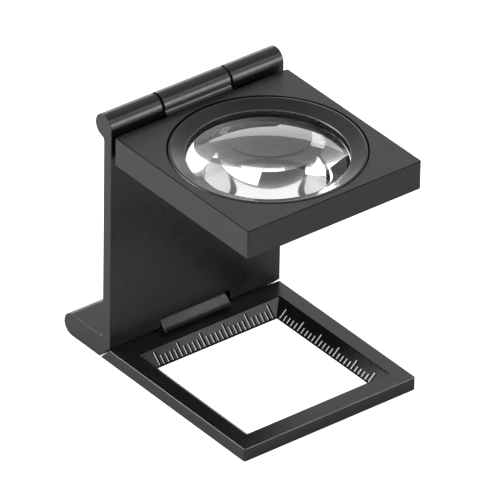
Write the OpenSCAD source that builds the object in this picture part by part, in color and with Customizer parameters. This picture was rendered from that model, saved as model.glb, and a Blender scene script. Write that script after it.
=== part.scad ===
// A folding linen tester in millimetres: a base frame with a graduated window, an upright
// and a lens plate, joined by two pinned hinges, standing open.
// X runs along the hinges, +Y to the back and +Z up.
// The origin lies on the standing surface, below the middle of the box round the part.

/* [Leaves] */
// Width of all three leaves along the hinges
leaf_w = 37.6; // [36.4:0.1:42]
// Radius of the free corners of the base and the lens plate, seen from above
corner_r = 0.4; // [0.2:0.1:1]

/* [Base frame] */
// Thickness of the base frame
base_t = 2.6; // [2.2:0.1:3.2]
// Width of the bar in front of the window
front_bar = 3.6; // [2:0.1:4.6]
// Length of the millimetre scale on each graduated wall
scale_len = 25; // [20:1:25]
// Clear length of window past each end of the scale
scale_margin = 0.8; // [0.4:0.1:1]
// Width of the rear and side walls of the window, seen from above
wall_run = 2.4; // [1.8:0.1:2.6]
// Height of the upright lip below the sloping wall
window_lip = 0.35; // [0.2:0.05:0.6]
// Slope of the flat ramp from the frame up to the tongue, in degrees
ramp_angle = 43; // [36:1:50]
// Hollow radius at the foot of that ramp
ramp_foot = 1.6; // [1:0.1:2]
// Distance from the foot of the ramp to the upright's front face
ramp_start = 0.9; // [0.5:0.1:1.4]

/* [Scale marks] */
// Spacing of the ticks
tick_step = 1; // [1:0.5:2]
// Every how many ticks a long one stands
long_every = 5; // [2:1:10]
// Width of a tick
tick_w = 0.24; // [0.15:0.01:0.35]
// Thickness of the filled line above the wall
tick_t = 0.05; // [0.03:0.01:0.1]
// Length of the long ticks on the rear wall
rear_long = 2.6; // [2:0.1:2.8]
// Length of the short ticks on the rear wall
rear_short = 1.75; // [1:0.05:2]
// Length of the long ticks on the side wall
side_long = 1.9; // [1.4:0.1:2.6]
// Length of the short ticks on the side wall
side_short = 1.1; // [0.6:0.1:1.4]
// Distance of the ticks from the lip
tick_lift = 0.1; // [0.05:0.05:0.3]

/* [Upright] */
// Thickness of the upright plate
upright_t = 2.1; // [1.8:0.1:3]
// Height of the top hinge axis
hinge_h = 47.7; // [44:0.1:56]
// Radius of the top knuckles
knuckle_r = 2.25; // [2:0.05:3]
// Thickness of the heel, which ends in a half round
heel_t = 4.4; // [4:0.1:5]
// Height and depth of the 45 degree chamfer at the bottom of the front face
chamfer = 3; // [2.8:0.1:3.6]
// Gap between that chamfer and the rear bevel of the base
chamfer_gap = 0.25; // [0.2:0.05:0.5]
// Room above the tongue in the upright's lower notch
notch_room = 0.6; // [0.6:0.1:2]
// Hollow radius where the plate runs into the heel and into the knuckles
inner_fillet = 0.8; // [0.4:0.1:1.2]

/* [Lens plate] */
// Depth of the lens plate from its rear to its front face; the base frame ends flush below it
plate_d = 37.2; // [36.4:0.1:42]
// Thickness of the lens plate
plate_t = 5.6; // [5:0.1:7]
// Drop from the hinge axis to the top of the plate
plate_drop = 0.7; // [0.4:0.1:0.8]
// Gap between the plate's rear face and the upright
plate_gap = 1; // [0.8:0.1:1.6]
// Height of the stop pad on the plate's rear face
stop_h = 4.2; // [3:0.1:4.6]
// Play between the stop pad and the upright
stop_play = 0.1; // [0.05:0.05:0.3]
// Room between the folded plate and the folded base
fold_room = 0.25; // [0.2:0.05:0.8]

/* [Lens] */
// Clear diameter of the lens
lens_clear_d = 28.4; // [24:0.1:29]
// Width of the flat rim round the clear lens
lens_rim_w = 1; // [0.8:0.1:1.4]
// Thickness of the rim
lens_rim_t = 1.2; // [0.8:0.1:1.6]
// Radius of both lens surfaces
lens_curve_r = 42; // [40:0.5:80]
// Diameter of the flared mouth under the lens seat
mouth_d = 35; // [30:0.1:35.4]
// Thickness of the seat's inner edge, between the mouth and the lens rim
seat_edge = 0.5; // [0.3:0.1:1]
// Play between the lens and its seat, and between the bezel and its seat
seat_play = 0.05; // [0.02:0.01:0.1]
// Outer diameter of the bezel
bezel_d = 34.6; // [33:0.1:35.4]
// Thickness of the bezel's flange at its outer edge
bezel_flange = 1.4; // [1.2:0.1:1.6]
// Depth of the dish from the plate's top to the bezel's inner edge
dish_depth = 1.05; // [0.6:0.05:1.1]

/* [Hinges] */
// Distance between the middles of the two gaps beside a middle knuckle
mid_knuckle_w = 14.9; // [10:0.1:20]
// Width of the gap beside a middle knuckle
knuckle_gap = 0.4; // [0.35:0.05:0.8]
// Diameter of both hinge pins
pin_d = 1.6; // [1.2:0.1:2]
// Radial clearance of a pin in its middle knuckle
pin_clear = 0.04; // [0.02:0.01:0.08]
// Solid wall at the blind left end of each pin bore
blind_wall = 1.2; // [0.8:0.1:2]
// Depth of the pin's end below the right-hand face
pin_recess = 0.2; // [0.1:0.1:0.6]
// Outer diameter of the friction washers
washer_d = 3.6; // [3:0.1:3.8]
// Play between a washer and the moving knuckle
washer_play = 0.1; // [0.05:0.05:0.2]

/* [Hidden] */
$fn = 96;
lens_fn = 240;
over = 1;
black = "#2b2b2d";
plate_black = "#323234";

// Places below are measured from the upright's front face, which is y = 0 until place() shifts it.
plate_top = hinge_h - plate_drop;
plate_bottom = plate_top - plate_t;
plate_mid = plate_top - plate_t / 2;
optical_y = -plate_gap - plate_d / 2;
window_clear = scale_len + 2 * scale_margin;
window_top = window_clear + 2 * wall_run;
base_front = -plate_gap - plate_d;
front_run = optical_y - window_clear / 2 - base_front - front_bar;
base_rear_sum = chamfer - chamfer_gap * sqrt(2);
wall_rise = base_t - window_lip;
wall_angle = atan2(wall_rise, wall_run);
heel_axis_z = heel_t / 2;
folded_plate_y = knuckle_r + plate_drop + plate_t;
heel_axis_y = folded_plate_y + fold_room + heel_t / 2;
heel_end = heel_axis_y + heel_t / 2;
notch_top = heel_t + notch_room;
slot_w = mid_knuckle_w + knuckle_gap;
tongue_w = mid_knuckle_w - knuckle_gap;
pin_r = pin_d / 2;
lens_clear_r = lens_clear_d / 2;
lens_r = lens_clear_r + lens_rim_w;
lens_sag = lens_curve_r - sqrt(pow(lens_curve_r, 2) - pow(lens_clear_r, 2));
rim_bottom = plate_mid - lens_rim_t / 2;
rim_top = plate_mid + lens_rim_t / 2;
y_shift = -(base_front + heel_end) / 2;

// Moves a piece from the upright's frame to the part's own frame
module place() {
    translate([0, y_shift, 0]) children();
}

// Extrudes a side view, drawn as (depth, height), over a width centred on the part
module along_x(w) {
    translate([-w / 2, 0, 0]) rotate([90, 0, 90]) linear_extrude(w) children();
}

// Rectangle with round corners, centred
module outline(w, d, r) {
    square([w - 2 * r, d], center = true);
    square([w, d - 2 * r], center = true);
    for (sx = [-1, 1], sy = [-1, 1]) {
        translate([sx * (w / 2 - r), sy * (d / 2 - r)]) circle(r);
    }
}

// Round bar along X from x0 to x1
module bar_x(x0, x1, r, y, z) {
    translate([x0, y, z]) rotate([0, 90, 0]) cylinder(h = x1 - x0, r = r);
}

// Pin bore, open at the right and blind at the left
module pin_bore(y, z) {
    bar_x(-leaf_w / 2 + blind_wall, leaf_w / 2 + over, pin_r, y, z);
}

// Side view of the base frame, with its rear edge bevelled at 45 degrees
module base_profile() {
    polygon([
        [base_front, 0],
        [base_rear_sum, 0],
        [base_rear_sum - base_t, base_t],
        [base_front, base_t]
    ]);
}

// Side view of the tongue: bar, flat ramp with a hollow foot and round knuckle
module tongue_profile() {
    rise = heel_t - base_t;
    ramp_run = rise / tan(ramp_angle);
    root = ramp_start + 2 * over;
    foot = ramp_foot * tan(ramp_angle / 2);
    polygon([
        [-root, 0],
        [heel_axis_y, 0],
        [heel_axis_y, heel_t],
        [-ramp_start + ramp_run, heel_t],
        [-ramp_start, base_t],
        [-root, base_t]
    ]);
    translate([heel_axis_y, heel_axis_z]) circle(heel_t / 2);
    difference() {
        polygon([
            [-ramp_start - foot, base_t / 2],
            [-ramp_start + foot * cos(ramp_angle), base_t / 2],
            [-ramp_start + foot * cos(ramp_angle), base_t + foot * sin(ramp_angle)],
            [-ramp_start - foot, base_t]
        ]);
        translate([-ramp_start - foot, base_t + ramp_foot]) circle(ramp_foot);
    }
}

// The opening: a straight lip below four sloping walls
module window_cut() {
    translate([0, optical_y, 0]) {
        cube([window_clear, window_clear, 3 * base_t], center = true);
        intersection() {
            along_x(window_top + 2 * over) wall_profile(front_run, wall_run);
            rotate([0, 0, 90]) along_x(window_top + 2 * over) wall_profile(wall_run, wall_run);
        }
    }
}

// Section of the window from its lip to just above the frame, with the runs of its two walls
module wall_profile(low_run, high_run) {
    grow = (wall_rise + over) / wall_rise;
    polygon([
        [-window_clear / 2, window_lip],
        [window_clear / 2, window_lip],
        [window_clear / 2 + grow * high_run, base_t + over],
        [-window_clear / 2 - grow * low_run, base_t + over]
    ]);
}

module base_frame() {
    depth = leaf_w + base_rear_sum - base_front;
    color(black) place() difference() {
        union() {
            intersection() {
                along_x(leaf_w) base_profile();
                translate([0, base_front + depth / 2, 0]) linear_extrude(base_t) outline(leaf_w, depth, corner_r);
            }
            along_x(tongue_w) tongue_profile();
        }
        window_cut();
        bar_x(-leaf_w, leaf_w, pin_r + pin_clear, heel_axis_y, heel_axis_z);
    }
}

// Ticks across a sloping wall, along X, starting at the lip
module ticks(long_len, short_len) {
    count = floor(scale_len / tick_step);
    for (i = [0:count]) {
        len = i % long_every == 0 ? long_len : short_len;
        translate([i * tick_step - scale_len / 2 - tick_w / 2, tick_lift, 0]) cube([tick_w, len, tick_t]);
    }
}

module rear_scale_marks() {
    color("gainsboro") place()
        translate([0, optical_y + window_clear / 2, window_lip])
            rotate([wall_angle, 0, 0]) ticks(rear_long, rear_short);
}

module side_scale_marks() {
    color("white") place()
        translate([window_clear / 2, optical_y, window_lip])
            rotate([0, 0, -90]) rotate([wall_angle, 0, 0]) ticks(side_long, side_short);
}

// Side view of the upright: plate, heel with half-round end, and knuckle
module upright_profile() {
    fillet_y = upright_t + inner_fillet;
    fillet_drop = sqrt(pow(knuckle_r + inner_fillet, 2) - pow(fillet_y - knuckle_r, 2));
    difference() {
        union() {
            square([upright_t, hinge_h]);
            square([heel_axis_y, heel_t]);
            translate([heel_axis_y, heel_axis_z]) circle(heel_t / 2);
            translate([knuckle_r, hinge_h]) circle(knuckle_r);
            translate([upright_t, heel_t]) hollow_corner(inner_fillet);
            difference() {
                translate([upright_t / 2, hinge_h - fillet_drop]) square([fillet_y - upright_t / 2, fillet_drop]);
                translate([fillet_y, hinge_h - fillet_drop]) circle(inner_fillet);
                beyond_tangent(fillet_y, fillet_drop);
            }
        }
        polygon([[-over, -over], [chamfer + over, -over], [-over, chamfer + over]]);
    }
}

// Cuts what lies outside the line from the knuckle's centre to the fillet's centre
module beyond_tangent(fillet_y, fillet_drop) {
    polygon([
        [knuckle_r, hinge_h],
        [fillet_y, hinge_h - fillet_drop],
        [fillet_y + knuckle_r, hinge_h - fillet_drop],
        [fillet_y + knuckle_r, hinge_h]
    ]);
}

// Fills the corner at the origin between +X and +Y with a hollow of radius r
module hollow_corner(r) {
    difference() {
        translate([-over / 4, -over / 4]) square(r + over / 4);
        translate([r, r]) circle(r);
    }
}

module upright() {
    slot_depth = heel_end + 2 * over;
    color(black) place() difference() {
        along_x(leaf_w) upright_profile();
        translate([-slot_w / 2, -over, -over]) cube([slot_w, slot_depth, notch_top + over]);
        translate([-slot_w / 2, -over, hinge_h - knuckle_r - fold_room])
            cube([slot_w, slot_depth, 2 * knuckle_r + fold_room + over]);
        pin_bore(knuckle_r, hinge_h);
        pin_bore(heel_axis_y, heel_axis_z);
    }
}

// Side view of the middle knuckle with the web and the stop pad that join it to the plate
module web_profile() {
    difference() {
        union() {
            translate([knuckle_r, hinge_h]) circle(knuckle_r);
            translate([-plate_gap - over, hinge_h - knuckle_r])
                square([plate_gap + over + knuckle_r, knuckle_r - plate_drop]);
            translate([-plate_gap - over, plate_top - stop_h])
                square([plate_gap + over - stop_play, stop_h]);
            translate([-plate_drop, plate_top - over]) square([plate_drop + knuckle_r, plate_drop + over]);
        }
        translate([-plate_drop, hinge_h]) circle(plate_drop);
    }
}

// Cone that opens the bore below the lens seat, reaching past the plate's underside
module mouth_cone() {
    rise = rim_bottom - seat_edge - plate_bottom;
    run = mouth_d / 2 - lens_clear_r;
    cylinder(h = rise + over, r1 = mouth_d / 2 + over * run / rise, r2 = lens_clear_r);
}

module lens_plate() {
    color(plate_black) place() difference() {
        union() {
            translate([0, optical_y, plate_bottom]) linear_extrude(plate_t) outline(leaf_w, plate_d, corner_r);
            along_x(tongue_w) web_profile();
        }
        translate([0, optical_y, 0]) {
            translate([0, 0, plate_bottom - over]) cylinder(h = plate_t, r = lens_clear_r);
            translate([0, 0, plate_bottom - over]) mouth_cone();
            translate([0, 0, rim_bottom]) cylinder(h = plate_t, r = lens_r + seat_play);
            translate([0, 0, plate_top - bezel_flange]) cylinder(h = plate_t, r = bezel_d / 2 + seat_play);
        }
        bar_x(-leaf_w, leaf_w, pin_r + pin_clear, knuckle_r, hinge_h);
    }
}

module lens() {
    cap_centre = lens_curve_r - lens_rim_t / 2 - lens_sag;
    color("lightcyan", 0.4) place() translate([0, optical_y, plate_mid]) {
        cylinder(h = lens_rim_t, r = lens_r, center = true);
        intersection() {
            translate([0, 0, cap_centre]) sphere(lens_curve_r, $fn = lens_fn);
            translate([0, 0, -cap_centre]) sphere(lens_curve_r, $fn = lens_fn);
            cylinder(h = 2 * plate_t, r = lens_clear_r, center = true);
        }
    }
}

// Section: dished flange on the plate's top, and a sleeve down to the lens rim
module lens_bezel() {
    color(plate_black) place() translate([0, optical_y, 0]) rotate_extrude() polygon([
        [lens_clear_r, rim_top + seat_play],
        [lens_r, rim_top + seat_play],
        [lens_r, plate_top - bezel_flange],
        [bezel_d / 2, plate_top - bezel_flange],
        [bezel_d / 2, plate_top],
        [lens_clear_r, plate_top - dish_depth]
    ]);
}

// Pin that fills its bore, from the blind end to just below the right-hand face
module hinge_pin(y, z) {
    color("silver") place()
        bar_x(-leaf_w / 2 + blind_wall + pin_recess, leaf_w / 2 - pin_recess, pin_r, y, z);
}

module top_hinge_pin() {
    hinge_pin(knuckle_r, hinge_h);
}

module heel_hinge_pin() {
    hinge_pin(heel_axis_y, heel_axis_z);
}

// Friction washer against the outer knuckle on the given side
module washer(side, y, z) {
    thickness = knuckle_gap - washer_play;
    middle = side * (slot_w - thickness) / 2;
    color("dimgray") place() difference() {
        bar_x(middle - thickness / 2, middle + thickness / 2, washer_d / 2, y, z);
        bar_x(-leaf_w, leaf_w, pin_r + pin_clear, y, z);
    }
}

module top_washer_left() {
    washer(-1, knuckle_r, hinge_h);
}

module top_washer_right() {
    washer(1, knuckle_r, hinge_h);
}

module heel_washer_left() {
    washer(-1, heel_axis_y, heel_axis_z);
}

module heel_washer_right() {
    washer(1, heel_axis_y, heel_axis_z);
}

base_frame();
rear_scale_marks();
side_scale_marks();
upright();
lens_plate();
lens();
lens_bezel();
top_hinge_pin();
heel_hinge_pin();
top_washer_left();
top_washer_right();
heel_washer_left();
heel_washer_right();
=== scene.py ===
# %% [markdown]
# # A folding linen tester
# A linen tester is a small folding magnifier. It stands on cloth or print, and its lens looks down
# through a square window with a millimetre scale, so that threads or dots can be counted.
# The working model, with its hinges and true sizes, is loaded as a fixed frame. This lesson gives
# it its looks: softened edges, the satin black finish, the glass, the engraved ticks and the light.
# One Blender unit is a metre, so a size in millimetres is written as a number times MM.

import math

import bmesh
import bpy
from mathutils import Matrix, Vector


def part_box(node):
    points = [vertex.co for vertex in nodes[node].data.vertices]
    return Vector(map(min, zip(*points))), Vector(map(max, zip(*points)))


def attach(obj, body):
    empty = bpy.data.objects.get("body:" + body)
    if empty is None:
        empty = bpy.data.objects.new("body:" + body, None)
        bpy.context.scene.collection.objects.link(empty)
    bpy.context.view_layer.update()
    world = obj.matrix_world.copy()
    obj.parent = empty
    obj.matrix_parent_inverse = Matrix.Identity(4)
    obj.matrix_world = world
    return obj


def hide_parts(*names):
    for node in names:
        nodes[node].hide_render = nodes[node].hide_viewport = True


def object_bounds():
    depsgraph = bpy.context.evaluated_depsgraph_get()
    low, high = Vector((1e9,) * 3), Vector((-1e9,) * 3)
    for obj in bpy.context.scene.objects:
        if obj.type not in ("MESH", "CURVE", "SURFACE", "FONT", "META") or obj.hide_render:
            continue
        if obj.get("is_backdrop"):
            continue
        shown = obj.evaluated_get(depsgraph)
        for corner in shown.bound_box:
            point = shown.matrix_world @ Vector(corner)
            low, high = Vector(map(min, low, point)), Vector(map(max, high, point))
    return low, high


MM = 0.001
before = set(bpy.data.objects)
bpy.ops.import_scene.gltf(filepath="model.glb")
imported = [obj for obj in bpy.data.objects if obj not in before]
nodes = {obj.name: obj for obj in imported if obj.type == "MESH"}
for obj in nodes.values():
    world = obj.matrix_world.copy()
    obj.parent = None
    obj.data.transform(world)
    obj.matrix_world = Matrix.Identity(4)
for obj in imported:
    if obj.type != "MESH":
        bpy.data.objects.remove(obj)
cad_low, cad_high = (list(corner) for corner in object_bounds())
print("size in mm:", [round((high - low) / MM, 2) for low, high in zip(cad_low, cad_high)])

# %% [markdown]
# ## Clean copies
# The three leaves are machined from flat metal: a base frame, an upright and a lens plate. They could
# be modelled afresh, but their exact solids are at hand, so each one is copied. A solid arrives as
# loose triangles, which no modifier can round. The copy's points are therefore merged, and its flat
# triangles are joined into whole faces. A face that runs as a ring round a hole shades badly, so two
# straight cuts through the lens's axis divide it.

# %% Copy a solid as a clean mesh
FLAT_ANGLE = math.radians(1.5)
MERGE = 0.002 * MM
lens_low, lens_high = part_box("lens")
LENS_CENTRE = (Vector(lens_low) + Vector(lens_high)) / 2


def merged_copy(name, new_name):
    """A copy of a solid as one clean closed mesh, with flat faces joined."""
    mesh = nodes[name].data.copy()
    mesh.name = new_name
    build = bmesh.new()
    build.from_mesh(mesh)
    bmesh.ops.remove_doubles(build, verts=build.verts, dist=MERGE)
    bmesh.ops.dissolve_limit(build, angle_limit=FLAT_ANGLE, verts=build.verts, edges=build.edges)
    for normal in ((1, 0, 0), (0, 1, 0)):
        everything = build.verts[:] + build.edges[:] + build.faces[:]
        bmesh.ops.bisect_plane(build, geom=everything, dist=MERGE, plane_co=LENS_CENTRE, plane_no=normal)
    build.to_mesh(mesh)
    build.free()
    mesh.materials.clear()
    piece = bpy.data.objects.new(new_name, mesh)
    bpy.context.scene.collection.objects.link(piece)
    return piece


print("centre of the lens in mm:", [round(place / MM, 2) for place in LENS_CENTRE])

# %% [markdown]
# ## Softened edges
# Every machined edge is broken by hand or by tumbling, and a perfectly sharp edge never catches
# light. The corners could be cut in mesh code, but a Bevel modifier finds all sharp edges by itself.
# It gives its new strips a second material, because an edge takes light and wear in its own way.
# Weighted normals then keep the flat faces flat, right up to the strip.

# %% Round the sharp edges
SHARP_ANGLE = math.radians(28)
EDGE_RADIUS = 0.1 * MM
EDGE_SEGMENTS = 3
EDGE_SLOT = 1


def baked(piece):
    """Turns a piece and its modifiers into a plain mesh."""
    depsgraph = bpy.context.evaluated_depsgraph_get()
    mesh = bpy.data.meshes.new_from_object(piece.evaluated_get(depsgraph))
    piece.modifiers.clear()
    piece.data = mesh
    return piece


def soften(piece, radius, finish, edge_finish):
    """Rounds the sharp edges by radius and gives the new strips the edge finish."""
    piece.data.materials.append(finish)
    piece.data.materials.append(edge_finish)
    rounding = piece.modifiers.new("edge rounding", "BEVEL")
    rounding.width = radius
    rounding.segments = EDGE_SEGMENTS
    rounding.use_clamp_overlap = False
    rounding.limit_method = "ANGLE"
    rounding.angle_limit = SHARP_ANGLE
    rounding.material = EDGE_SLOT
    rounding.harden_normals = False
    baked(piece)
    piece.data.shade_smooth()
    weighting = piece.modifiers.new("flat faces stay flat", "WEIGHTED_NORMAL")
    weighting.keep_sharp = True
    return baked(piece)


print("edges are rounded by", EDGE_RADIUS / MM, "mm")

# %% [markdown]
# ## A small language for shader maths
# A material's maths could be wired node by node, but it is easier to read as `grain * 0.3 + 0.7`.
# The Wire class wraps a socket, and its operators add the Math nodes. Everything that isn't a sum
# comes from one method of the Finish class. It makes a node, sets its settings first, and then
# fills its sockets.

# %% Sockets that can be added and multiplied


class Wire:
    """An output socket with arithmetic."""

    def __init__(self, finish, socket):
        self.finish = finish
        self.socket = socket

    def combine(self, operation, first, second):
        node = self.finish.node("ShaderNodeMath", {"operation": operation}, {0: first, 1: second})
        return Wire(self.finish, node.outputs[0])

    def __add__(self, other):
        return self.combine("ADD", self, other)

    def __mul__(self, other):
        return self.combine("MULTIPLY", self, other)

    def __rsub__(self, other):
        return self.combine("SUBTRACT", other, self)

    def __gt__(self, other):
        return self.combine("GREATER_THAN", self, other)

    __radd__ = __add__
    __rmul__ = __mul__


print("a Wire takes: wire + 1, wire * 2, 1 - wire, wire > 0.5")

# %% One method for every other node
RAMP_STOPS_AT_FIRST = 2


class Finish:
    """A material or world under construction."""

    def __init__(self, owner):
        self.owner = owner
        owner.use_nodes = True
        self.tree = owner.node_tree
        self.tree.nodes.clear()

    def node(self, kind, settings, inputs):
        made = self.tree.nodes.new(kind)
        for name, value in settings.items():
            if name == "stops":
                self.set_stops(made.color_ramp, value)
            else:
                setattr(made, name, value)
        for name, value in inputs.items():
            if isinstance(value, Wire):
                self.tree.links.new(value.socket, made.inputs[name])
            else:
                made.inputs[name].default_value = value
        return made

    def wire(self, kind, settings, inputs, output=0):
        return Wire(self, self.node(kind, settings, inputs).outputs[output])

    @staticmethod
    def set_stops(ramp, stops):
        for index, (place, colour) in enumerate(stops):
            is_there = index < RAMP_STOPS_AT_FIRST
            stop = ramp.elements[index] if is_there else ramp.elements.new(place)
            stop.position = place
            stop.color = colour


print("a Finish makes nodes for a material or a world")

# %% [markdown]
# ## What the finishes share
# Nearly every finish of the tester is a noise, a colour that follows it and one Principled shader,
# so these three get a helper each. The noise could read Generated coordinates, but those stretch
# with each piece. Object coordinates are metres here, so a Scale of 4000 means a grain of a quarter
# of a millimetre on every piece. A Mix node has sockets for each kind of data under the same names,
# so its colour sockets go by number.

# %% Helpers for a finish
MIX_FACTOR, MIX_FIRST_COLOUR, MIX_SECOND_COLOUR = 0, 6, 7
MIXED_COLOUR = 2


def grey(value):
    return (value, value, value, 1)


def new_finish(name):
    return Finish(bpy.data.materials.new(name))


def speckle(finish, scale, detail):
    """Noise between 0 and 1 on Object coordinates."""
    place = finish.wire("ShaderNodeTexCoord", {}, {}, "Object")
    return finish.wire("ShaderNodeTexNoise", {}, {"Vector": place, "Scale": scale, "Detail": detail})


def blend(finish, mask, first_colour, second_colour):
    """The first colour where the mask is 0 and the second where it is 1."""
    sockets = {MIX_FACTOR: mask, MIX_FIRST_COLOUR: first_colour, MIX_SECOND_COLOUR: second_colour}
    return finish.wire("ShaderNodeMix", {"data_type": "RGBA"}, sockets, MIXED_COLOUR)


def coat(finish, sockets):
    """Ends a finish in one Principled shader with the sockets given."""
    shader = finish.wire("ShaderNodeBsdfPrincipled", {}, sockets)
    finish.node("ShaderNodeOutputMaterial", {}, {"Surface": shader})
    return finish.owner


print("helpers: grey, new_finish, speckle, blend, coat")

# %% [markdown]
# ## Satin black
# The leaves are black anodised or painted metal with a fine satin skin. A picture of such a skin
# could be wrapped round them, but noise needs no seams and holds at any distance. Three things make
# it: a very dark colour, a roughness that wanders slightly, and a grain far finer than a millimetre
# that breaks up the reflections. The base's edges rub on table and pocket, so they get a more
# metallic black, and their paler colour is also a painted highlight for the thin bright lines along
# them. The upright's edges are as black as its faces.

# %% The black finishes
FINE_GRAIN = 5200
SOFT_MOTTLE = 420
TONE_SPREAD = 0.6
GLOSS_WANDER = 0.12


def black_finish(name, colour, roughness, grain_depth, metal):
    """Satin black with a fine grain in its normal and a slow wander in its gloss."""
    finish = new_finish(name)
    grain = speckle(finish, FINE_GRAIN, detail=3.0)
    mottle = speckle(finish, SOFT_MOTTLE, detail=2.0)
    darker, paler = grey(colour * (1 - TONE_SPREAD)), grey(colour * (1 + TONE_SPREAD))
    return coat(finish, {
        "Base Color": blend(finish, grain, darker, paler),
        "Metallic": metal,
        "Roughness": mottle * GLOSS_WANDER + (roughness - GLOSS_WANDER / 2),
        "Normal": finish.wire("ShaderNodeBump", {}, {
            "Strength": 1.0, "Distance": grain_depth, "Height": grain})})


satin_black = black_finish(
    "satin black", colour=0.003, roughness=0.29, grain_depth=0.004 * MM, metal=0.0)
# Edge finish: partly wear, partly a painted highlight in its paler colour.
edge_wear_and_highlight = black_finish(
    "satin black edge", colour=0.12, roughness=0.26, grain_depth=0.0015 * MM, metal=0.55)
print("black finishes:", satin_black.name, "and", edge_wear_and_highlight.name)

# %% [markdown]
# ## Painted shade
# Some fine lines on the object never light up: the plate's edges, the rim of the window and the dark
# flank of an engraved line. Deeper shapes could be cut to hold a real shadow, but these lines are a
# few tenths of a millimetre wide at most, so their shade is painted: a near-black without gloss looks the
# same.

# %% The shade in seams and grooves
SHADE_PAINT_GRAIN = 2600
SHADE_PAINT_DARKER, SHADE_PAINT_PALER = grey(0.001), grey(0.004)
# Painted shade: a near-black with a faint grain and hardly any gloss, for lines that light never reaches.
shade_paint = new_finish("groove shade")
painted_shade_black = coat(shade_paint, {
    "Base Color": blend(shade_paint, speckle(shade_paint, SHADE_PAINT_GRAIN, detail=2.0), SHADE_PAINT_DARKER, SHADE_PAINT_PALER),
    "Roughness": 0.9,
    "Specular IOR Level": 0.05})
print("shade:", painted_shade_black.name)

# %% [markdown]
# ## The three leaves
# Base frame, upright and lens plate are the three bodies that the hinges join. Each could have a
# cell of its own, but they differ only in the finish of their edges. One table and one loop
# therefore make all three.

# %% Make the leaves
# Edges: the base's are worn black with a painted highlight, and the lens plate's are painted shade.
LEAVES = {"base_frame": ("base", edge_wear_and_highlight), "upright": ("stand", satin_black),
          "lens_plate": ("lens_leaf", painted_shade_black)}
for node_name, (body, edge_finish) in LEAVES.items():
    leaf = merged_copy(node_name, node_name + "_dressed")
    soften(leaf, EDGE_RADIUS, satin_black, edge_finish)
    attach(leaf, body)
    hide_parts(node_name)
    print(leaf.name, len(leaf.data.polygons), "faces")

# %% [markdown]
# ## The window's rim
# The window is cut with sloping walls that end in a thin upright lip at the cloth. The lip, and the
# walls' upper edges at the window's mouth, lie in shadow and are never rubbed. They could be
# separate pieces, but their faces are easily found by where they are and which way they face. Those
# faces take the painted shade, a matt near-black.

# %% Blacken the window's rim
WINDOW_HALF = 13.3 * MM
WINDOW_LIP = 0.35 * MM
WALL_RUN = 2.4 * MM
WALL_RISE = 2.25 * MM
LIP_LOWEST_NORMAL, LIP_HIGHEST_NORMAL = -0.95, 0.7
SHADE_SLOT = 2


def within_window(face, reach):
    """Whether a face's middle lies less than reach from the window's middle, both ways."""
    return abs(face.center.x - LENS_CENTRE.x) < reach and abs(face.center.y - LENS_CENTRE.y) < reach


def on_lip(face):
    """Whether a face belongs to the upright lip, and not to the wall above or the underside."""
    return (within_window(face, WINDOW_HALF + EDGE_RADIUS) and face.center.z < WINDOW_LIP + EDGE_RADIUS
            and LIP_LOWEST_NORMAL < face.normal.z < LIP_HIGHEST_NORMAL)


def on_mouth(face):
    """Whether a face is a rounded strip that lies no further out than the walls' upper edges."""
    return face.material_index == EDGE_SLOT and within_window(face, WINDOW_HALF + WALL_RUN + 2 * EDGE_RADIUS)


base_leaf = bpy.data.objects["base_frame_dressed"]
base_leaf.data.materials.append(painted_shade_black)
rim_faces = [face for face in base_leaf.data.polygons if on_lip(face) or on_mouth(face)]
for face in rim_faces:
    face.material_index = SHADE_SLOT
print("faces on the window's rim:", len(rim_faces))

# %% [markdown]
# ## Pins and washers
# Two plain steel pins carry the hinges, and thin black nylon washers between the knuckles give
# them the friction that holds a leaf where it is put. Only pin ends and washer rims show, so nothing
# is remodelled: the exact solids stay and get a finish each. The steel is bright with a fine grain,
# and the nylon is soft and dull.

# %% Finish the pins and washers
STEEL_GRAIN = 9000
STEEL_DARKER, STEEL_PALER = (0.42, 0.42, 0.43, 1), (0.6, 0.6, 0.61, 1)
STEEL_ROUGHNESS = 0.18
GRAIN_ROUGHNESS = 0.2
turned_steel = new_finish("turned steel")
steel_grain = speckle(turned_steel, STEEL_GRAIN, detail=2.0)
pin_steel = coat(turned_steel, {
    "Base Color": blend(turned_steel, steel_grain, STEEL_DARKER, STEEL_PALER),
    "Metallic": 1.0,
    "Roughness": steel_grain * GRAIN_ROUGHNESS + STEEL_ROUGHNESS})
washer_black = black_finish("black nylon", colour=0.012, roughness=0.55, grain_depth=0.004 * MM, metal=0.0)
SMALL_FINISHES = {"pin": pin_steel, "washer": washer_black}
for name, node in nodes.items():
    for kind, finish in SMALL_FINISHES.items():
        if kind in name.split("_"):
            node.data.materials[0] = finish
            print(name, "gets", finish.name)

# %% [markdown]
# ## Turned pieces
# The lens and the bezel are turned, so each is one outline of radius and height, revolved about the
# optical axis. A Screw modifier could do it, but mesh code closes the poles and gives each turned
# step a finish of its own. Points on the axis become a single pole.

# %% Revolve an outline
TURN_STEPS = 160


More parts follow.
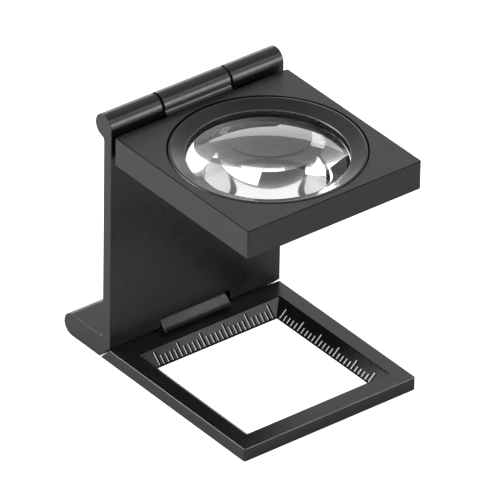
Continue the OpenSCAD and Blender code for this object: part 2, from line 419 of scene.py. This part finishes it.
def lathe(name, outline, centre, edges=()):
    """Revolves (radius, height) points about the line through centre; segments in edges get finish 1."""
    build = bmesh.new()
    rings = []
    for radius, height in outline:
        steps = 1 if radius < MERGE else TURN_STEPS
        turns = [2 * math.pi * step / TURN_STEPS for step in range(steps)]
        rings.append([build.verts.new((centre[0] + radius * math.cos(turn),
                                       centre[1] + radius * math.sin(turn), height)) for turn in turns])
    closed = rings[0][0] is not rings[-1][0] and len(rings[0]) > 1
    pairs = list(zip(rings, rings[1:] + rings[:1])) if closed else list(zip(rings, rings[1:]))
    for segment, (lower, upper) in enumerate(pairs):
        for step in range(TURN_STEPS):
            ahead = (step + 1) % TURN_STEPS
            corners = [lower[step % len(lower)], lower[ahead % len(lower)],
                       upper[ahead % len(upper)], upper[step % len(upper)]]
            unique = list(dict.fromkeys(corners))
            if len(unique) > 2:
                build.faces.new(unique).material_index = int(segment in edges)
    bmesh.ops.recalc_face_normals(build, faces=build.faces)
    mesh = bpy.data.meshes.new(name)
    build.to_mesh(mesh)
    build.free()
    piece = bpy.data.objects.new(name, mesh)
    bpy.context.scene.collection.objects.link(piece)
    return piece


print("steps in a turn:", TURN_STEPS)

# %% [markdown]
# ## The lens's measures
# Lens and bezel share the edge of the clear glass. It could be typed in, but it is worked out from
# the boxes of the two solids, so that lens and bezel follow the frame when its sizes change.

# %% Measure the lens and its seat
bezel_low, bezel_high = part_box("lens_bezel")
optical_axis = ((lens_low[0] + lens_high[0]) / 2, (lens_low[1] + lens_high[1]) / 2)
RIM_WIDTH = 1.0 * MM
RIM_THICKNESS = 1.2 * MM
lens_radius = (lens_high[0] - lens_low[0]) / 2
clear_radius = lens_radius - RIM_WIDTH
lens_middle = (lens_high[2] + lens_low[2]) / 2
lens_sag = (lens_high[2] - lens_low[2] - RIM_THICKNESS) / 2
curve_radius = (clear_radius ** 2 + lens_sag ** 2) / (2 * lens_sag)
print("lens radius", round(lens_radius / MM, 2), "mm, curve", round(curve_radius / MM, 1), "mm")

# %% [markdown]
# ## The lens
# A biconvex lens with a flat rim. A flattened sphere would come close, but here the cap is a true
# arc with many points, because glass shows every facet. The glass is a Principled shader with full
# transmission and the refraction of crown glass.

# %% Make the lens
CAP_POINTS = 40
GLASS_TINT = (0.97, 0.985, 0.98, 1)
CROWN_GLASS_IOR = 1.52


def cap(side):
    """Points of one lens surface from its pole to the edge of the clear glass."""
    reach = math.asin(clear_radius / curve_radius)
    points = []
    for index in range(CAP_POINTS + 1):
        angle = reach * index / CAP_POINTS
        drop = curve_radius * (1 - math.cos(angle))
        height = lens_middle + side * (RIM_THICKNESS / 2 + lens_sag - drop)
        points.append((curve_radius * math.sin(angle), height))
    return points


rim = [(lens_radius, lens_middle + RIM_THICKNESS / 2), (lens_radius, lens_middle - RIM_THICKNESS / 2)]
lens = lathe("lens_glass_turned", cap(1) + rim + cap(-1)[::-1], optical_axis)
lens.data.materials.append(coat(new_finish("optical glass"), {
    "Base Color": GLASS_TINT, "Roughness": 0.0, "IOR": CROWN_GLASS_IOR, "Transmission Weight": 1.0}))
lens.data.shade_smooth()
lens.data.set_sharp_from_angle(angle=SHARP_ANGLE)
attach(lens, "lens_leaf")
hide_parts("lens")
print(lens.name, len(lens.data.polygons), "faces")

# %% [markdown]
# ## The bezel
# A dished ring holds the lens down. It slopes from the plate's top to the edge of the glass, and a
# fine seam runs round it where it is let into the plate. A Bevel modifier would round all its edges
# alike, so the outline is given point by point: a soft lip outside, and a tight one inside that
# shines a little.

# %% Make the bezel
DISH_DEPTH = 1.05 * MM
FLANGE = 1.4 * MM
SEAM = 0.12 * MM
LIP = 0.16 * MM
BEZEL_SHARP_ANGLE = math.radians(35)
# How far in from the bezel's outside and how far down from its top, in seam widths.
OUTER_LIP = [(0, 3), (1, 2.2), (1, 1.5), (1.6, 0.7), (3, 0.12), (4.5, 0), (6.5, 0.5), (8.5, 1.5)]
# How far out from the clear glass and how far up from the dish's inner edge, in lip widths.
INNER_LIP = [(1, 0.25), (0.3, 0), (0, -0.4)]
bezel_radius = (bezel_high[0] - bezel_low[0]) / 2
top, bottom = bezel_high[2], bezel_low[2]
inner_top = top - DISH_DEPTH
seat = [(clear_radius, bottom), (lens_radius, bottom), (lens_radius, top - FLANGE),
        (bezel_radius, top - FLANGE)]
outer_lip = [(bezel_radius - inset * SEAM, top - drop * SEAM) for inset, drop in OUTER_LIP]
inner_lip = [(clear_radius + outset * LIP, inner_top + rise * LIP) for outset, rise in INNER_LIP]
inner_start = len(seat) + len(outer_lip)
# The inner lip's two segments take the paler edge finish, a painted highlight along the glass.
bezel = lathe("lens_bezel_turned", seat + outer_lip + inner_lip, optical_axis,
              edges=(inner_start, inner_start + 1))
bezel.data.materials.append(satin_black)
bezel.data.materials.append(edge_wear_and_highlight)
bezel.data.shade_smooth()
bezel.data.set_sharp_from_angle(angle=BEZEL_SHARP_ANGLE)
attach(bezel, "lens_leaf")
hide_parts("lens_bezel")
print(bezel.name, len(bezel.data.polygons), "faces")

# %% [markdown]
# ## The ticks
# Twenty-six lines are engraved in the window's rear wall and as many in its right wall, one for
# each millimetre, and every fifth is longer. A line is a narrow groove with white in it: one flank
# catches the light and the other stays dark. No groove is cut here: the white fill is a thin bar on
# the wall, and the dark flank beside it is painted shade, a flat bar of matt black. A loop could
# place them, but what repeats like this is what Geometry Nodes are for: they put one small bar on
# each point of a line and stretch every fifth. The same tree makes the white fill and the painted
# dark flanks, with other widths and finishes.

# %% A node tree for a row of engraved lines
ROW_INPUTS = {"Count": "Int", "Pitch": "Float", "Long Every": "Int", "Long Length": "Float",
              "Short Length": "Float", "Bar Width": "Float", "Bar Shift": "Float",
              "Bar Height": "Float", "Finish": "Material"}
# Moves a cube of side 1 so that its foot is on the row's line and its back on the wall.
ONTO_LINE_AND_WALL = (0, 0.5, 0.5)


def row_tree():
    """Bars along X that stand up along Y; every Long Every-th bar has the Long Length."""
    tree = bpy.data.node_groups.new("row of engraved lines", "GeometryNodeTree")
    face = tree.interface
    face.new_socket("Geometry", in_out="INPUT", socket_type="NodeSocketGeometry")
    for label, kind in ROW_INPUTS.items():
        face.new_socket(label, in_out="INPUT", socket_type="NodeSocket" + kind)
    face.new_socket("Geometry", in_out="OUTPUT", socket_type="NodeSocketGeometry")

    def node(kind, settings, inputs):
        made = tree.nodes.new(kind)
        for name, value in settings.items():
            setattr(made, name, value)
        for name, value in inputs.items():
            if isinstance(value, bpy.types.NodeSocket):
                tree.links.new(value, made.inputs[name])
            else:
                made.inputs[name].default_value = value
        return made.outputs[0] if made.outputs else None

    given = tree.nodes.new("NodeGroupInput").outputs
    start = node("ShaderNodeCombineXYZ", {}, {0: given["Bar Shift"]})
    step = node("ShaderNodeCombineXYZ", {}, {0: given["Pitch"]})
    points = node("GeometryNodeMeshLine", {}, {
        "Count": given["Count"], "Start Location": start, "Offset": step})
    bar = node("GeometryNodeMeshCube", {}, {})
    standing = node("GeometryNodeTransform", {}, {"Geometry": bar, "Translation": ONTO_LINE_AND_WALL})
    # The remainder is 0 on the first bar and then on every Long Every-th one.
    remainder = node("ShaderNodeMath", {"operation": "MODULO"}, {
        0: node("GeometryNodeInputIndex", {}, {}), 1: given["Long Every"]})
    is_long = node("ShaderNodeMath", {"operation": "LESS_THAN"}, {0: remainder, 1: 0.5})
    length = node("GeometryNodeSwitch", {"input_type": "FLOAT"}, {
        "Switch": is_long, "False": given["Short Length"], "True": given["Long Length"]})
    stretch = node("ShaderNodeCombineXYZ", {}, {
        0: given["Bar Width"], 1: length, 2: given["Bar Height"]})
    bars = node("GeometryNodeInstanceOnPoints", {}, {
        "Points": points, "Instance": standing, "Scale": stretch})
    solid = node("GeometryNodeRealizeInstances", {}, {"Geometry": bars})
    painted = node("GeometryNodeSetMaterial", {}, {"Geometry": solid, "Material": given["Finish"]})
    node("NodeGroupOutput", {}, {"Geometry": painted})
    return tree


engraving = row_tree()
print("inputs:", [item.name for item in engraving.interface.items_tree if item.in_out == "INPUT"])

# %% [markdown]
# ## The white in a line
# The fill is paint wiped into the groove. One flat white would look printed, so a noise takes a
# little off it in places, as where the paint has gone thin.

# %% The white fill
PAINT_GRAIN = 2600
THIN_PAINT, FULL_PAINT = grey(0.65), grey(0.98)
paint = new_finish("white fill")
white_fill = coat(paint, {
    "Base Color": blend(paint, speckle(paint, PAINT_GRAIN, detail=2.0), THIN_PAINT, FULL_PAINT),
    "Roughness": 0.55})
print("fill:", white_fill.name)

# %% [markdown]
# ## The two scales
# Each wall could have code of its own, but both slope alike, so one function places a row by the
# way its wall lies. The rear lines are long and fine with a wide dark flank of painted shade, and
# the right-hand lines are shorter and broader.

# %% A row on a sloping wall
TICKS = 26
PITCH = 1.0 * MM
LONG_EVERY = 5
FOOT = 0.1 * MM
window_centre = (0, optical_axis[1])
slope = math.hypot(WALL_RUN, WALL_RISE)


def tick_row(name, outward, along, long_length, short_length, width, shift, height, finish):
    """One row on the wall that lies outward of the window; along is the row's direction."""
    holder = bpy.data.meshes.new(name)
    row = bpy.data.objects.new(name, holder)
    bpy.context.scene.collection.objects.link(row)
    maker = row.modifiers.new("engraving", "NODES")
    maker.node_group = engraving
    wanted = {"Count": TICKS, "Pitch": PITCH, "Long Every": LONG_EVERY, "Long Length": long_length,
              "Short Length": short_length, "Bar Width": width, "Bar Shift": shift, "Bar Height": height,
              "Finish": finish}
    for item in engraving.interface.items_tree:
        if item.in_out == "INPUT" and item.name in wanted:
            maker[item.identifier] = wanted[item.name]
    baked(row)
    climb = (outward * WALL_RUN + Vector((0, 0, WALL_RISE))) / slope
    normal = along.cross(climb)
    first = Vector((*window_centre, WINDOW_LIP)) + outward * WINDOW_HALF
    first += climb * FOOT - along * (TICKS - 1) * PITCH / 2
    place_on_wall = Matrix((along, climb, normal)).transposed().to_4x4()
    place_on_wall.translation = first
    row.data.transform(place_on_wall)
    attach(row, "base")
    return row


print("the walls slope over", round(slope / MM, 2), "mm")

# %% Cut the two scales
FRONT, REAR, RIGHT = Vector((0, -1, 0)), Vector((0, 1, 0)), Vector((1, 0, 0))
FILL_HEIGHT = 0.04 * MM
SHADE_HEIGHT = 0.01 * MM
SCALES = {
    "rear": {"outward": REAR, "along": RIGHT, "long_length": 2.55 * MM, "short_length": 1.65 * MM},
    "side": {"outward": RIGHT, "along": FRONT, "long_length": 1.9 * MM, "short_length": 1.1 * MM}}
FILL_WIDTHS = {"rear": 0.11 * MM, "side": 0.25 * MM}
SHADE_WIDTHS = {"rear": 0.4 * MM, "side": 0.3 * MM}
for side, scale in SCALES.items():
    fill_width, shade_width = FILL_WIDTHS[side], SHADE_WIDTHS[side]
    white = tick_row(side + "_ticks_white", **scale, width=fill_width, shift=-fill_width / 2,
                     height=FILL_HEIGHT, finish=white_fill)
    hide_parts(side + "_scale_marks")
    # The dark flank: a flat bar of painted shade laid beside the white one.
    shade = tick_row(side + "_ticks_shade", **scale, width=shade_width, shift=shade_width / 2,
                     height=SHADE_HEIGHT, finish=painted_shade_black)
    print(side, "row:", len(white.data.polygons), "faces")

# %% [markdown]
# ## The floor
# The tester stands on plain white. A stronger lamp could burn a grey paper out to white, but it
# would spoil the black too. So the paper is a light grey that also glows: fully for the camera and
# through the glass, and only faintly in reflections. The object's shadow still falls on it.

# %% Floor
FLOOR_HALF = 2.5
FLOOR_DROP = 0.01 * MM
PAPER = grey(0.7)
FLOOR_GLOW = 0.84
FLOOR_GLOW_IN_GLOSS = 0.02


def ray_kind(finish, *names):
    """1 for the kinds of ray named and 0 for all others, such as those that light the object."""
    path = finish.node("ShaderNodeLightPath", {}, {})
    kinds = [Wire(finish, path.outputs[name]) for name in names]
    total = kinds[0]
    for kind in kinds[1:]:
        total = total + kind
    # Each output is 0 or 1, so the sum is past a half as soon as one of them is on.
    return total > 0.5


bpy.ops.mesh.primitive_plane_add(size=2 * FLOOR_HALF, location=(0, 0, cad_low[2] - FLOOR_DROP))
floor = bpy.context.object
floor.name = "floor"
paper = new_finish("white paper")
glow_strength = (ray_kind(paper, "Is Camera Ray", "Is Transmission Ray") * FLOOR_GLOW
                 + ray_kind(paper, "Is Glossy Ray") * FLOOR_GLOW_IN_GLOSS)
matt = paper.wire("ShaderNodeBsdfDiffuse", {}, {"Color": PAPER})
glow = paper.wire("ShaderNodeEmission", {}, {"Color": grey(1.0), "Strength": glow_strength})
paper_shader = paper.wire("ShaderNodeAddShader", {}, {0: matt, 1: glow})
paper.node("ShaderNodeOutputMaterial", {}, {"Surface": paper_shader})
floor.data.materials.append(paper.owner)
floor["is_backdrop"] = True
print("floor:", 2 * FLOOR_HALF, "m wide")

# %% [markdown]
# ## The room
# A satin black object shows almost nothing but reflections, so what stands round it matters more
# than how strong the light is: each face mirrors one part of the room. The room could be built of
# walls, but a world that goes from grey to grey does the same. In front the wall is a middling grey.
# At the rear right, which the top faces mirror, it is lighter, and a dark band 42 to 45 degrees up
# gives the glass its dark arch.

# %% Room
TOWARDS_REAR_RIGHT = (0.62, 0.785)
REAR_RIGHT_SPREAD = [(0.55, grey(0)), (0.85, grey(1))]
# Each stop is the sine of an elevation and the wall's grey there.
NEAR_WALL = [(0.0, grey(0.3)), (0.3, grey(0.4)), (0.62, grey(0.45)), (1.0, grey(0.45))]
FAR_WALL = [(0.0, grey(0.82)), (0.655, grey(0.82)), (0.665, grey(0.04)), (0.705, grey(0.04)),
            (0.715, grey(1.1)), (1.0, grey(0.9))]
room = Finish(bpy.context.scene.world or bpy.data.worlds.new("room"))
bpy.context.scene.world = room.owner
direction = room.wire("ShaderNodeTexCoord", {}, {}, "Generated")
parts = room.node("ShaderNodeSeparateXYZ", {}, {"Vector": direction})
east, north, height = (Wire(room, parts.outputs[name]) for name in "XYZ")
# How far a direction points to the rear right, brought from -1 to 1 into the ramp's 0 to 1.
facing = (east * TOWARDS_REAR_RIGHT[0] + north * TOWARDS_REAR_RIGHT[1]) * 0.5 + 0.5
rear_right = room.wire("ShaderNodeValToRGB", {"stops": REAR_RIGHT_SPREAD}, {"Fac": facing})
near_wall = room.wire("ShaderNodeValToRGB", {"stops": NEAR_WALL}, {"Fac": height})
far_wall = room.wire("ShaderNodeValToRGB", {"stops": FAR_WALL}, {"Fac": height})
walls = blend(room, rear_right, near_wall, far_wall)
backdrop = blend(room, ray_kind(room, "Is Camera Ray"), walls, grey(1.0))
room_light = room.node("ShaderNodeBackground", {}, {"Color": backdrop, "Strength": 1.0})
room.node("ShaderNodeOutputWorld", {}, {"Surface": Wire(room, room_light.outputs[0])})
print("room:", room.owner.name)

# %% [markdown]
# ## Soft panels
# Lamps could stand where a studio has them, but satin black shows a lamp only where a face mirrors
# it, so each panel is placed for certain faces. The front right panel is the bright line on the
# knuckles and the front edges. The card above it lights the slopes that face front: the tongue's
# ramp and the window's rear wall. The rear left panel does that for the window's right wall, and
# the rear right one lifts the top faces. Hardly a face mirrors the left panel, but it falls on the
# white lines of the right wall. All of them face a point half way up the object.

# %% Soft panels
AIM = Vector((0, 0, 0.025))


def towards(azimuth, elevation):
    """Unit vector from the object to a viewer; azimuth 0 is in front, 90 at the right."""
    across, up = math.radians(azimuth), math.radians(elevation)
    return Vector((math.sin(across) * math.cos(up), -math.cos(across) * math.cos(up), math.sin(up)))


def panel(name, azimuth, elevation, distance, width, height, radiance):
    """A soft panel that faces the object and looks as bright as radiance."""
    light = bpy.data.lights.new(name, "AREA")
    light.shape = "RECTANGLE"
    light.size = width
    light.size_y = height
    light.energy = radiance * math.pi * width * height
    lamp = bpy.data.objects.new(name, light)
    lamp.location = AIM + towards(azimuth, elevation) * distance
    lamp.rotation_euler = towards(azimuth, elevation).to_track_quat("Z", "Y").to_euler()
    bpy.context.scene.collection.objects.link(lamp)
    return lamp


# Degrees round and up, metres away, wide and high, and then how bright the panel looks.
PANELS = {
    "front right panel": (37, 12, 1.0, 0.6, 0.36, 7.5),
    "front right card": (45, 43, 1.0, 0.32, 0.22, 3.2),
    "rear left panel": (-140, 33, 0.45, 0.23, 0.23, 11.5),
    "rear right panel": (137, 11, 1.2, 0.74, 0.44, 2.2),
    "left panel": (-75, 28, 0.45, 0.2, 0.2, 6.0)}
for name, values in PANELS.items():
    lamp = panel(name, *values)
    print(lamp.name, round(lamp.data.energy, 3), "W")

# %% [markdown]
# ## Camera
# The tester is seen from the left front and above. A near camera would spread its edges, so this one
# stands far away with a long lens, and parallel edges stay nearly parallel.

# %% Camera
VIEW_AZIMUTH = -38.469
VIEW_ELEVATION = 32.915
VIEW_ROLL = 0.974
VIEW_AIM = Vector((0, -2.59, 24.11)) * MM
VIEW_DISTANCE = 1.61306
SENSOR = 36.0
FOCAL_LENGTH = 672.42
NEAREST_SEEN = 0.1
FARTHEST_SEEN = 20


def camera_turn(azimuth, elevation, roll):
    """Rotation of a camera that looks back along the line to the viewer."""
    back = towards(azimuth, elevation)
    right = Vector((math.cos(math.radians(azimuth)), math.sin(math.radians(azimuth)), 0))
    upright = back.cross(right)
    level = Matrix((right, upright, back)).transposed()
    return level @ Matrix.Rotation(math.radians(roll), 3, "Z")


camera = bpy.data.objects.new("camera", bpy.data.cameras.new("camera"))
camera.data.sensor_width = SENSOR
camera.data.lens = FOCAL_LENGTH
camera.data.clip_start = NEAREST_SEEN
camera.data.clip_end = FARTHEST_SEEN
camera.location = VIEW_AIM + towards(VIEW_AZIMUTH, VIEW_ELEVATION) * VIEW_DISTANCE
camera.rotation_euler = camera_turn(VIEW_AZIMUTH, VIEW_ELEVATION, VIEW_ROLL).to_euler()
bpy.context.scene.collection.objects.link(camera)
bpy.context.scene.camera = camera
bpy.context.scene.view_settings.view_transform = "Standard"
print("camera at", [round(part, 3) for part in camera.location])
